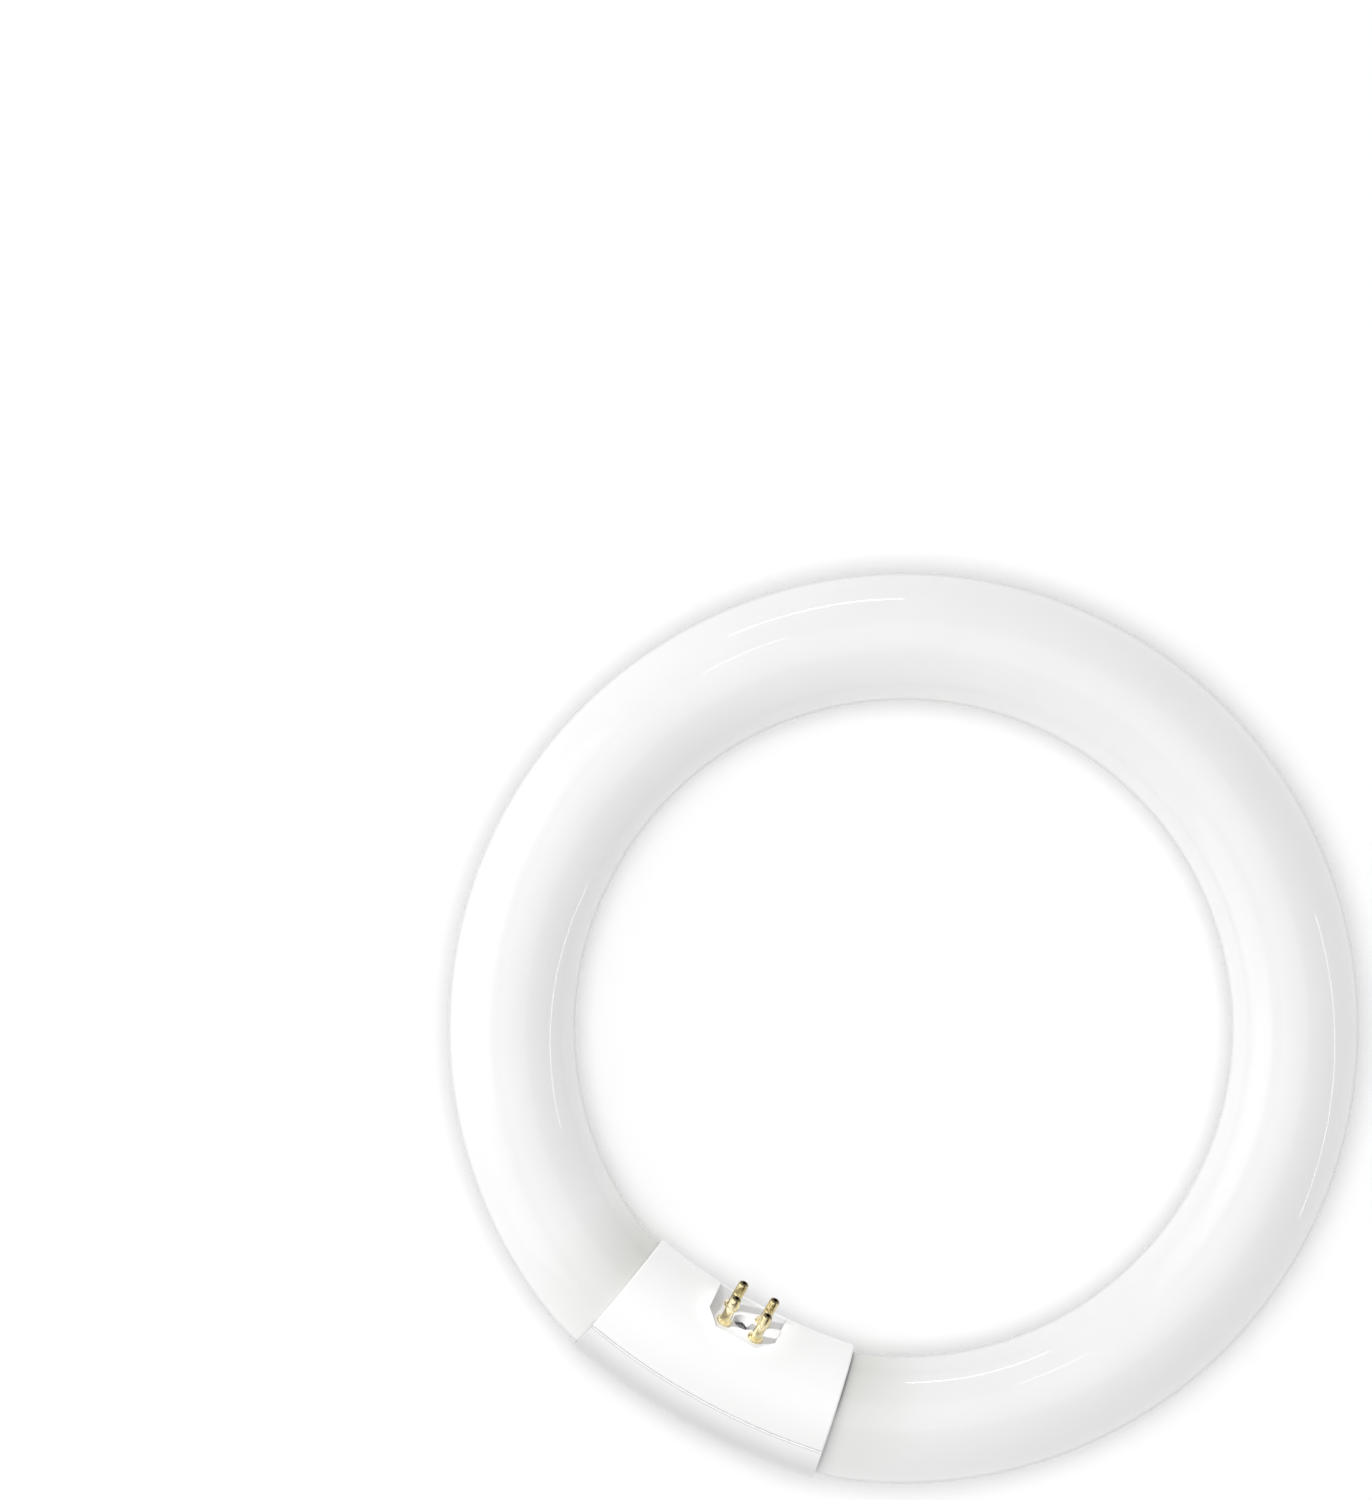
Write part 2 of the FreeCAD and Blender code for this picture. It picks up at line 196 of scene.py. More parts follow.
def mesh_object(name: str, grids: list[Grid], sharp_angle: float) -> bpy.types.Object:
    """Make one object from surfaces that are given in millimetres.

    Args:
        name: Name of the new object.
        grids: The surfaces. Their faces are turned outward by the sign of the enclosed volume.
        sharp_angle: Angle in degrees above which an edge stays sharp.

    Returns:
        The object, linked to the scene, at the origin.
    """
    vertices: list[Array] = []
    faces: list[list[int]] = []
    uv: list[Array] = []
    values: dict[str, list[Array]] = {}
    offset = 0
    for grid in grids:
        points, quads = grid.corners()
        wrap = grid.wrap().reshape(-1, 4, 2)
        triangles = np.zeros((0, 3), dtype=int)
        if grid.pole_ends:
            triangles = grid.caps()
            poles = np.stack([grid.points[0].mean(axis=0), grid.points[-1].mean(axis=0)])
            points = np.concatenate([points, poles])
        volume = signed_volume(points, quads) + signed_volume(points, triangles)
        if volume < 0:
            quads = quads[:, ::-1]
            triangles = triangles[:, ::-1]
            wrap = wrap[:, ::-1]
        vertices.append(points)
        faces += (quads + offset).tolist() + (triangles + offset).tolist()
        uv += [wrap.reshape(-1, 2), np.zeros((triangles.size, 2))]
        for key, value in grid.values.items():
            flat = np.broadcast_to(value, grid.points.shape[:2]).reshape(-1)
            at_poles = np.array([flat[0], flat[-1]])[: len(points) - len(flat)]
            values.setdefault(key, []).append(np.concatenate([flat, at_poles]))
        offset += len(points)
    mesh = bpy.data.meshes.new(name)
    mesh.from_pydata((np.concatenate(vertices) * MM).tolist(), [], faces)
    layer = mesh.uv_layers.new(name="wrap")
    layer.data.foreach_set("uv", np.concatenate(uv).astype(np.float32).ravel())
    for key, parts in values.items():
        attribute = mesh.attributes.new(key, "FLOAT", "POINT")
        attribute.data.foreach_set("value", np.concatenate(parts).astype(np.float32))
    mesh.shade_smooth()
    mesh.set_sharp_from_angle(angle=math.radians(sharp_angle))
    mesh.validate()
    return linked(name, mesh)


def polyline(corners: list[tuple[float, float]], step: float) -> Array:
    """Divide straight runs between corners: start + (end - start) * share of each run.

    Args:
        corners: Radius and height of each corner.
        step: Largest distance between points.

    Returns:
        The points as rows of radius and height, with the corners kept.
    """
    pieces = []
    for start, end in zip(corners, corners[1:]):
        run = np.subtract(end, start)
        count = max(1, math.ceil(float(np.hypot(*run)) / step))
        share = np.linspace(0, 1, count, endpoint=False)[:, None]
        pieces.append(np.asarray(start) + run * share)
    pieces.append(np.asarray([corners[-1]]))
    return np.concatenate(pieces)


def fillet(centre: tuple[float, float], radius: float, start: float, stop: float, count: int) -> Array:
    """Points of an arc in the radius-height plane: centre + radius * (cos a, sin a), a in degrees."""
    angle = np.radians(np.linspace(start, stop, count))
    return np.asarray(centre) + radius * np.stack([np.cos(angle), np.sin(angle)], axis=-1)


def smooth_step(value: Array, low: float, high: float) -> Array:
    """Ease from 0 at low to 1 at high: share * share * (3 - 2 * share)."""
    share = np.clip((value - low) / (high - low), 0, 1)
    return share * share * (3 - 2 * share)


def bell(distance: Array, width: float) -> Array:
    """Fall off from 1 at no distance: exp(-(distance / width)^2)."""
    return np.exp(-((distance / width) ** 2))


# Sizes that the pieces share


@dataclass(frozen=True)
class CapFrame:
    """Directions and places of the cap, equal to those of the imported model."""

    bend_radius: float = 144.0
    bend_y: float = 58.21896
    half_length: float = 27.7
    radius: float = 15.65
    lean: float = 33.5
    floor: float = 13.0
    pitch_along: float = 7.92
    pitch_across: float = 6.35

    @property
    def axis(self) -> Array:
        """Direction of the pins: (0, cos lean, sin lean)."""
        lean = math.radians(self.lean)
        return np.array([0.0, math.cos(lean), math.sin(lean)])

    @property
    def side(self) -> Array:
        """Direction across the pins, away from the ring's centre: (0, -sin lean, cos lean)."""
        lean = math.radians(self.lean)
        return np.array([0.0, -math.sin(lean), math.cos(lean)])

    @property
    def end_angle(self) -> float:
        """Half angle of the cap about the bend's axis: asin(half length / bend radius)."""
        return math.degrees(math.asin(self.half_length / self.bend_radius))

    def foot(self, place: PinPlace) -> Array:
        """Find where a pin stands: glass centre + side * across + axis * floor + X * along.

        Args:
            place: The pin's place, which gives the signs of the two half pitches.

        Returns:
            The point on the floor of the recess.
        """
        along, across = place.value
        centre = np.array([0.0, self.bend_y - self.bend_radius, 0.0])
        sideways = self.side * across * self.pitch_across / 2
        return centre + sideways + self.axis * self.floor + np.array([along * self.pitch_along / 2, 0, 0])


# Glass ring


@dataclass
class GlassRing:
    """The sealed ring of coated glass with its two turned-in ends."""

    cap: CapFrame
    tube_radius: float = 14.5
    ring_radius: float = 88.0
    shoulder_radius: float = 28.0
    base_angle: float = 11.28806
    end_angle: float = 4.69503
    rim_rounding: float = 3.0
    lip_rounding: float = 0.8
    mouth_radius: float = 9.1
    throat_radius: float = 4.9
    throat_depth: float = 9.6
    stem_depth: float = 12.0
    stem_middle: float = 0.4
    stub_radius: float = 1.9
    stub_length: float = 7.0
    stub_sunk: float = 0.4
    base_rows: int = 26
    shoulder_rows: int = 14
    ring_rows: int = 170
    columns: int = 112
    end_step: float = 0.8
    stub_step: float = 0.6
    waviness: float = 0.07
    dip_level: float = 0.85
    dip_swing: float = 0.25
    long_wave: float = 11.0
    oval_wave: float = 17.0
    wave_start: float = 24.0
    wave_full: float = 60.0
    fade_length: float = 24.0
    thin_level: float = 0.55
    thin_swing: float = 0.45
    gap_outside: float = 0.3
    gap_inner: tuple[float, float] = (-0.1, 0.35)
    gap_width: float = 0.45
    gap_shade: float = 0.22
    gap_shade_width: float = 1.8

    @property
    def turn(self) -> Array:
        """The angle a of each column, counted from the outside of the ring."""
        return np.linspace(0, 2 * np.pi, self.columns, endpoint=False)

    @property
    def hidden(self) -> float:
        """Length of glass that the cap hides at each end: bend radius * angle between the two ends."""
        return self.cap.bend_radius * math.radians(self.cap.end_angle - self.end_angle)

    @staticmethod
    def from_end(lengths: Array) -> Array:
        """Distance from the nearer end, along the glass: the lesser of length and whole length - length."""
        return np.minimum(lengths, lengths[-1] + lengths[0] - lengths)

    def centre_line(self) -> tuple[Array, Array, Array]:
        """Sample the glass centre line from the right end round to the left end.

        Each arc is centre + radius * (sin t, -cos t), with t counted from -Y. The base bend, a shoulder
        and the ring follow each other with one tangent, and the left side is the mirror of the right.

        Returns:
            Centres, the angle t of each row and the arc length from the right end.
        """
        reach = self.cap.bend_radius - self.shoulder_radius
        across = reach * math.sin(math.radians(self.base_angle))
        drop = math.sqrt((self.ring_radius - self.shoulder_radius) ** 2 - across**2)
        ring_angle = math.degrees(math.atan2(across, drop))
        rim_angle = self.end_angle + math.degrees(self.rim_rounding / self.cap.bend_radius)
        runs = [
            ((0.0, self.cap.bend_y), self.cap.bend_radius, rim_angle, self.base_angle, self.base_rows),
            ((across, -drop), self.shoulder_radius, self.base_angle, ring_angle, self.shoulder_rows),
            ((0.0, 0.0), self.ring_radius, ring_angle, 180.0, self.ring_rows),
        ]
        centres, angles, lengths = [], [], []
        length = self.rim_rounding
        for centre, radius, start, stop, count in runs:
            turn = np.linspace(start, stop, count, endpoint=False)
            t = np.radians(turn)
            centres.append(np.asarray(centre) + radius * np.stack([np.sin(t), -np.cos(t)], axis=-1))
            angles.append(turn)
            lengths.append(length + radius * np.radians(turn - start))
            length += radius * math.radians(stop - start)
        half = np.concatenate(centres)
        turn = np.concatenate(angles)
        run = np.concatenate(lengths)
        top = np.array([[0.0, self.ring_radius]])
        mirrored = half[::-1] * np.array([-1, 1])
        centres_all = np.concatenate([half, top, mirrored])
        angles_all = np.concatenate([turn, [180.0], 360.0 - turn[::-1]])
        lengths_all = np.concatenate([run, [length], 2 * length - run[::-1]])
        flat = np.concatenate([centres_all, np.zeros((len(centres_all), 1))], axis=-1)
        return flat, angles_all, lengths_all

    def end_profile(self) -> Array:
        """Draw a turned-in end: the stem's bottom, the throat, a cone, and the arcs of the lip and the rim.

        Returns:
            Radius and depth, from the middle out to the tube's wall.
        """
        rim, lip, mouth = self.rim_rounding, self.lip_rounding, self.mouth_radius
        corners = [
            (self.stem_middle, self.stem_depth),
            (self.throat_radius, self.stem_depth),
            (self.throat_radius, self.throat_depth),
            (mouth, lip),
        ]
        turned_lip = fillet((mouth + lip, lip), lip, start=180, stop=270, count=8)
        turned_rim = fillet((self.tube_radius - rim, rim), rim, start=270, stop=355, count=12)
        return np.concatenate([polyline(corners, self.end_step), turned_lip[1:], turned_rim])

    def frames(self, angles: Array) -> tuple[Array, Array]:
        """Work out the directions outward, (sin t, -cos t, 0), and forward, (cos t, sin t, 0).

        Args:
            angles: The angle t of each row, counted from -Y.

        Returns:
            The outward and the forward direction of each row.
        """
        t = np.radians(angles)
        zero = np.zeros_like(t)
        outward = np.stack([np.sin(t), -np.cos(t), zero], axis=-1)
        forward = np.stack([np.cos(t), np.sin(t), zero], axis=-1)
        return outward, forward

    def rows(self, centres: Array, outward: Array, radius: Array) -> Array:
        """Lay circles round a line: centre + radius * (outward * cos a + up * sin a).

        Args:
            centres: Centre of each circle.
            outward: Outward direction at each circle.
            radius: Radius of each circle or of each of its points.

        Returns:
            The points, with one row for each circle.
        """
        across, up = np.cos(self.turn)[:, None], np.sin(self.turn)[:, None]
        spoke = outward[:, None] * across + np.array([0, 0, 1.0]) * up
        return centres[:, None] + spoke * radius[..., None]

    def at_end(self, angle: float, way: int, radius: Array, depth: Array) -> Array:
        """Lay circles into a glass end, at the bend's axis + bend radius * outward + forward * depth.

        Args:
            angle: The end's angle from -Y.
            way: 1 where forward leads into the glass and -1 where it leads out.
            radius: Radius of each circle.
            depth: Depth of each circle below the end.

        Returns:
            The points, with one row for each circle.
        """
        outward, forward = self.frames(np.array([angle]))
        end = np.array([0.0, self.cap.bend_y, 0.0]) + self.cap.bend_radius * outward
        centres = end + forward * way * depth[:, None]
        return self.rows(centres, np.repeat(outward, len(depth), axis=0), radius[:, None])

    def wall_radius(self, lengths: Array) -> Array:
        """Let the drawn tube sink by a few hundredths in slow waves and turn slightly oval.

        The dip is waviness * (dip_level + dip_swing * sin(s / long_wave) + dip_swing * sin(2a + s /
        oval_wave)), with s along the glass and a round it. It grows from wave_start to wave_full.

        Args:
            lengths: The arc length s of each row.

        Returns:
            The radius at each point.
        """
        s = lengths[:, None]
        along = self.dip_swing * np.sin(s / self.long_wave)
        oval = self.dip_swing * np.sin(2 * self.turn + s / self.oval_wave)
        shown = smooth_step(self.from_end(s), self.wave_start, self.wave_full)
        return self.tube_radius - self.waviness * (self.dip_level + along + oval) * shown

    def near_cap(self, lengths: Array) -> Array:
        """Mark the coating that thins beside the cap: 1 at the cap, eased to 0 over the fade length.

        It thins most on the inside of the bend, by the share thin_level - thin_swing * cos a.

        Args:
            lengths: Arc length of each row.

        Returns:
            The mark at each point.
        """
        fade = 1 - smooth_step(self.from_end(lengths), self.hidden, self.hidden + self.fade_length)
        return fade[:, None] * (self.thin_level - self.thin_swing * np.cos(self.turn))

    def gap_and_shadow(self, lengths: Array) -> Array:
        """Mark the dark gap at the right end and the painted shadow of the shells beside it, 1 at its
        darkest.

        It is (gap_outside + (1 - gap_outside) * inner) * bell(d, gap_width) + gap_shade * bell(d,
        gap_shade_width), with d from the shells' edge. Inner eases from 0 to 1 as -cos a passes gap_inner.

        Args:
            lengths: Arc length of each row.

        Returns:
            The mark at each point.
        """
        # Paint the dark gap and, by gap_shade, the soft shadow that the shells' right end casts on the glass.
        beyond = np.maximum(lengths - self.hidden, 0)[:, None]
        inner = smooth_step(-np.cos(self.turn), *self.gap_inner)
        line = (self.gap_outside + (1 - self.gap_outside) * inner) * bell(beyond, self.gap_width)
        return np.minimum(line + self.gap_shade * bell(beyond, self.gap_shade_width), 1)

    def stub(self) -> Grid:
        """Shape the closed pumping stub in the right end: a straight tube with a round tip.

        Returns:
            The stub's surface, with the marks of a thin coating and without the gap and its painted shadow.
        """
        straight = self.stub_length - self.stub_radius
        wall = polyline([(self.stub_radius, -self.stub_sunk), (self.stub_radius, straight)], self.stub_step)
        tip = fillet((0.0, straight), self.stub_radius, start=0, stop=86, count=10)
        radius, height = np.concatenate([wall, tip[1:]]).T
        points = self.at_end(self.end_angle, 1, radius, self.stem_depth - height)
        none = np.zeros((len(radius), 1))
        return Grid(points, {"near_cap": none + 1, "gap_and_shadow": none}, pole_ends=True)

    def build(self) -> bpy.types.Object:
        """Build the ring, its ends and the stub.

        Returns:
            One object with the marks of the thin coating and of the gap with its painted shadow.
        """
        centres, angles, lengths = self.centre_line()
        body = self.rows(centres, self.frames(angles)[0], self.wall_radius(lengths))
        radius, depth = self.end_profile().T
        right = self.at_end(self.end_angle, 1, radius, depth)
        left = self.at_end(360 - self.end_angle, -1, radius, depth)
        full = np.ones((len(radius), self.columns))
        values = {
            "near_cap": np.concatenate([full, self.near_cap(lengths), full]),
            "gap_and_shadow": np.concatenate([0 * full, self.gap_and_shadow(lengths), 0 * full]),
        }
        ring = Grid(np.concatenate([right, body, left[::-1]]), values, pole_ends=True)
        return mesh_object("coated_glass_ring", [ring, self.stub()], sharp_angle=50)


# Contact pins


@dataclass
class ContactPin:
    """A hollow brass pin: riveted tail, rounded foot flange, shaft with a crimp, rounded tip."""

    cap: CapFrame
    radius: float = 1.2
    length: float = 7.4
    bore: float = 0.45
    pad: float = 1.4
    rivet: float = 0.45
    flange: float = 1.8
    flange_height: float = 0.7
    foot_rounding: float = 0.12
    dome: float = 0.75
    mouth_rounding: float = 0.13
    mouth_drop: float = 0.14
    crimp_height: float = 4.4
    crimp_turn: float = -30.0
    crimp_punch: float = 0.6
    crimp_depth: float = 0.25
    seam_turn: float = 20.0
    seam_width: float = 0.11
    seam_depth: float = 0.05
    seam_end: float = 3.6
    seam_fade: float = 0.8
    wall_inner: float = 0.1
    wall_outer: float = 0.3
    columns: int = 96
    foot_step: float = 0.35
    shaft_step: float = 0.07
    hollow_step: float = 0.5
    stain_spread: float = 3.0
    stain_start: float = 0.3
    stain_full: float = 0.6
    stain_wall: float = 0.2
    tip_reflection: float = 0.85
    tip_start: float = 0.45
    tip_full: float = 0.12
    bore_wall: float = 0.12

    def profile(self) -> Array:
        """Draw the closed half section of the pin: straight runs, and arcs at the flange, tip and mouth.

        Returns:
            Radius and height above the recess floor.
        """
        tail = -self.pad - self.rivet
        edge = self.flange_height / 2
        outer = self.radius + self.rivet
        foot = [
            (self.bore, tail),
            (outer - self.rivet / 2, tail),
            (outer, tail + self.rivet / 2),
            (outer, -self.pad),
            (self.radius, -self.pad),
            (self.radius, 0.0),
            (self.flange, 0.0),
            (self.flange, edge),
        ]
        rim = fillet((self.flange - edge, edge), edge, start=0, stop=90, count=9)
        hollow = self.foot_rounding
        low, straight = self.flange_height + hollow, self.length - self.dome
        step = fillet((self.radius + hollow, low), hollow, start=270, stop=180, count=5)
        shaft = polyline([(self.radius, low), (self.radius, straight)], self.shaft_step)
        tip = fillet((self.bore, straight), self.dome, start=0, stop=80, count=16)
        lip, high = self.mouth_rounding, self.length - self.mouth_drop
        mouth = fillet((self.bore + lip, high), lip, start=80, stop=180, count=7)
        bore = polyline([(self.bore, high), (self.bore, tail)], self.hollow_step)
        parts = [polyline(foot, self.foot_step)[:-1], rim, step, shaft[1:], tip[1:], mouth[1:], bore[1:-1]]
        return np.concatenate(parts)

    def beside(self, turn: Array, middle: float) -> Array:
        """Distance along the wall from an angle: (turn - middle) in radians * radius."""
        return np.radians(turn - middle) * self.radius

    def sunk(self, radius: Array, height: Array, turn: Array) -> Array:
        """Work out how far the outer wall sinks.

        The crimp is the cap of a ball of the punch radius, sqrt(punch^2 - d^2) less the ball's own lift,
        where d is the distance along the wall. The seam is a narrow valley, seam_depth * bell(d,
        seam_width), that runs down from the tip and ends softly. The bore's wall doesn't sink.

        Args:
            radius: Radius of each row of the profile.
            height: Height of each point.
            turn: Angle of each column.

        Returns:
            The depth at each point.
        """
        outside = smooth_step(radius, self.bore + self.wall_inner, self.bore + self.wall_outer)
        far = (height - self.crimp_height) ** 2 + self.beside(turn, self.crimp_turn) ** 2
        lift = self.crimp_punch - self.crimp_depth
        ball = np.sqrt(self.crimp_punch**2 - np.minimum(far, self.crimp_punch**2))
        seam = self.seam_depth * bell(self.beside(turn, self.seam_turn), self.seam_width)
        seam = seam * smooth_step(height, self.seam_end, self.seam_end + self.seam_fade)
        return outside * (np.maximum(ball - lift, 0) + seam)

    def stain_and_reflection(self, radius: Array, height: Array, turn: Array) -> Array:
        """Mark the painted dark reflections and tarnish, 1 at the darkest: the greater of the seam's and the
        tip's.

        The seam's is bell(d, stain_spread * seam_width) on the outer wall, eased in up the pin, and the
        tip's is tip_reflection, eased in from tip_start to tip_full below the top.

        Args:
            radius: Radius of each row of the profile.
            height: Height of each point.
            turn: Angle of each column.

        Returns:
            The mark at each point.
        """
        # Painted dark reflections along the seam and on the tip, with some tarnish.
        seam = bell(self.beside(turn, self.seam_turn), self.stain_spread * self.seam_width)
        seam = seam * smooth_step(height, self.seam_end + self.stain_start, self.length - self.stain_full)
        seam = seam * smooth_step(radius, self.bore, self.bore + self.stain_wall)
        tip = smooth_step(height, self.length - self.tip_start, self.length - self.tip_full)
        return np.maximum(seam, self.tip_reflection * tip)

    def build(self, place: PinPlace) -> bpy.types.Object:
        """Build one pin: foot + side * radius cos a + X * radius sin a + axis * height.

        Args:
            place: Where the pin stands.

        Returns:
            The object with the marks of the painted dark reflections and of the painted bore shade.
        """
        section, level = self.profile()[:, :1], self.profile()[:, 1:]
        turn = np.linspace(-180, 180, self.columns, endpoint=False)[None, :]
        height = np.broadcast_to(level, (len(level), self.columns))
        radius = section - self.sunk(section, height, turn)
        angle = np.radians(turn)
        points = (
            self.cap.foot(place)
            + self.cap.side * (radius * np.cos(angle))[..., None]
            + np.array([1.0, 0, 0]) * (radius * np.sin(angle))[..., None]
            + self.cap.axis * height[..., None]
        )
        # Mark the bore's inside for its painted shade.
        inside = 1 - smooth_step(section, self.bore, self.bore + self.bore_wall)
        values = {"stain_and_reflection": self.stain_and_reflection(section, height, turn), "inside": inside}
        return mesh_object(place.node + "_brass", [Grid(points, values, close_rows=True)], sharp_angle=40)


# Shader nodes


class Kind(Enum):
    """Kinds of socket that the shared effects have."""

    VECTOR = "NodeSocketVector"
    FLOAT = "NodeSocketFloat"
    COLOR = "NodeSocketColor"


class NodeSheet:
    """A small writer for one node tree."""

    MIX_SHARE, MIX_FIRST, MIX_SECOND, MIX_RESULT = 0, 6, 7, 2

    def __init__(self, tree: bpy.types.NodeTree) -> None:
        """Keep the tree."""
        self.tree = tree

    def add(self, kind: str, **settings: object) -> bpy.types.Node:
        """Add a node.

        Args:
            kind: Type of the node.
            settings: The node's own properties.

        Returns:
            The node.
        """
        node = self.tree.nodes.new(kind)
        for key, value in settings.items():
            setattr(node, key, value)
        return node

    def feed(self, node: bpy.types.Node, values: dict[str | int, Value]) -> None:
        """Give a node's inputs their values.

        Args:
            node: The node.
            values: Another node's output or a constant for each input, by the input's name or number.
        """
        for key, value in values.items():
            if isinstance(value, Socket):
                self.tree.links.new(value, node.inputs[key])
            else:
                node.inputs[key].default_value = value

    def place(self) -> Socket:
        """The object coordinates."""
        return self.add("ShaderNodeTexCoord").outputs["Object"]

    def mark(self, name: str) -> Socket:
        """A mark that the piece's own points carry."""
        return self.add("ShaderNodeAttribute", attribute_name=name).outputs["Fac"]

    def noise(self, place: Socket, scale: Value, detail: float, roughness: float = 0.5) -> Socket:
        """Add a soft noise.

        Args:
            place: The coordinates that it follows.
            scale: Its scale.
            detail: How many finer layers it has.
            roughness: How strong the finer layers are.

        Returns:
            The noise, from 0 to 1.
        """
        node = self.add("ShaderNodeTexNoise")
        self.feed(node, {"Vector": place, "Scale": scale, "Detail": detail, "Roughness": roughness})
        return node.outputs["Fac"]

    def ramp(self, value: Socket, start: float, end: float, unit: float = 1.0) -> Socket:
        """Ease from 0 at the start to 1 at the end.

        Args:
            value: What the ramp follows.
            start: Value of the ramp's foot.
            end: Value of its top, which may lie below the start.
            unit: Factor of both.

        Returns:
            The ramp's height.
        """
        low, high = min(start, end) * unit, max(start, end) * unit
        node = self.add("ShaderNodeMapRange", interpolation_type="SMOOTHSTEP")
        self.feed(node, {"Value": value, "From Min": low, "From Max": high})
        self.feed(node, {"To Min": float(end < start), "To Max": float(end > start)})
        return node.outputs["Result"]

    def math(self, operation: str, first: Value, second: Value = 0.0) -> Socket:
        """Work out one value from two, each an output or a number.

        Args:
            operation: Name of the operation.
            first: Its first value.
            second: Its second value, which some operations leave out.

        Returns:
            The result.
        """
        node = self.add("ShaderNodeMath", operation=operation)
        self.feed(node, {0: first, 1: second})
        return node.outputs[0]

    def vector(self, operation: str, first: Socket, second: Point = (0.0, 0.0, 0.0)) -> bpy.types.Node:
        """Work out a vector or a value from two vectors.

        Args:
            operation: Name of the operation.
            first: Its first vector.
            second: Its second vector, which some operations leave out.

        Returns:
            The node, with its outputs Vector and Value.
        """
        node = self.add("ShaderNodeVectorMath", operation=operation)
        self.feed(node, {0: first, 1: second})
        return node

    def mix(self, share: Value, first: Value, second: Value) -> Socket:
        """Mix two colours.

        Args:
            share: How much of the second colour is in it.
            first: The first colour.
            second: The second colour.

        Returns:
            The mixed colour.
        """
        node = self.add("ShaderNodeMix", data_type="RGBA")
        self.feed(node, {self.MIX_SHARE: share, self.MIX_FIRST: first, self.MIX_SECOND: second})
        return node.outputs[self.MIX_RESULT]

    def effect(self, tree: bpy.types.NodeTree, values: dict[str, Value]) -> Socket:
        """Place a shared effect.

        Args:
            tree: The effect's group.
            values: The values of its inputs in this material.

        Returns:
            The effect's output.
        """
        node = self.add("ShaderNodeGroup", node_tree=tree)
        self.feed(node, values)
        return node.outputs[0]


class EffectGroups:
    """The effects that several finishes share, each built once as a node group."""

    def __init__(self) -> None:
        """Build all the groups."""
        self.mottle = self._mottle()
        self.drift = self._drift()
        self.relief = self._relief()

    @staticmethod
    def _new(
        name: str, inputs: dict[str, Kind], output: tuple[str, Kind]
    ) -> tuple[NodeSheet, bpy.types.NodeOutputs, bpy.types.Node]:
        """Make an empty group with named sockets.

        Args:
            name: Name of the group.
            inputs: Name and kind of each input beside Vector.
            output: Name and kind of its output.

        Returns:
            A writer for the group's tree, the sockets that bring its inputs, and its output node.
        """
        tree = bpy.data.node_groups.new(name, "ShaderNodeTree")
        for label, kind in {"Vector": Kind.VECTOR, **inputs}.items():
            tree.interface.new_socket(name=label, in_out="INPUT", socket_type=kind.value)
        label, kind = output
        tree.interface.new_socket(name=label, in_out="OUTPUT", socket_type=kind.value)
        sheet = NodeSheet(tree)
        return sheet, sheet.add("NodeGroupInput").outputs, sheet.add("NodeGroupOutput")

    def _mottle(self) -> bpy.types.NodeTree:
        """Make two colours that run into each other in soft clouds.

        Returns:
            The group, which puts out a colour.
        """
        inputs = {"Scale": Kind.FLOAT, "Light": Kind.COLOR, "Dark": Kind.COLOR}
        sheet, given, out = self._new("soft_mottle", inputs, ("Color", Kind.COLOR))
        clouds = sheet.noise(given["Vector"], given["Scale"], detail=4.0, roughness=0.55)
        share = sheet.ramp(clouds, start=0.32, end=0.68)
        sheet.feed(out, {"Color": sheet.mix(share, given["Light"], given["Dark"])})
        return sheet.tree

    def _drift(self) -> bpy.types.NodeTree:
        """Make a roughness that wanders between two values.

        Returns:
            The group, which puts out a roughness.
        """
        inputs = {"Scale": Kind.FLOAT, "Low": Kind.FLOAT, "High": Kind.FLOAT}
        sheet, given, out = self._new("roughness_drift", inputs, ("Roughness", Kind.FLOAT))
        noise = sheet.noise(given["Vector"], given["Scale"], detail=6.0)
        spread = sheet.add("ShaderNodeMapRange")
        sheet.feed(spread, {"Value": noise, "From Min": 0.3, "From Max": 0.7})
        sheet.feed(spread, {"To Min": given["Low"], "To Max": given["High"]})
        sheet.feed(out, {"Roughness": spread.outputs["Result"]})
        return sheet.tree

    def _relief(self) -> bpy.types.NodeTree:
        """Lay a fine grain over slow waves: grain + waves * their share.

        Returns:
            The group, which puts out a height.
        """
        inputs = {"Grain Scale": Kind.FLOAT, "Wave Scale": Kind.FLOAT, "Wave Share": Kind.FLOAT}
        sheet, given, out = self._new("grain_relief", inputs, ("Height", Kind.FLOAT))
        grain = sheet.noise(given["Vector"], given["Grain Scale"], detail=3.0)
        wave = sheet.noise(given["Vector"], given["Wave Scale"], detail=1.0)
        waves = sheet.math("MULTIPLY", wave, given["Wave Share"])
        sheet.feed(out, {"Height": sheet.math("ADD", grain, waves)})
        return sheet.tree


# Finishes


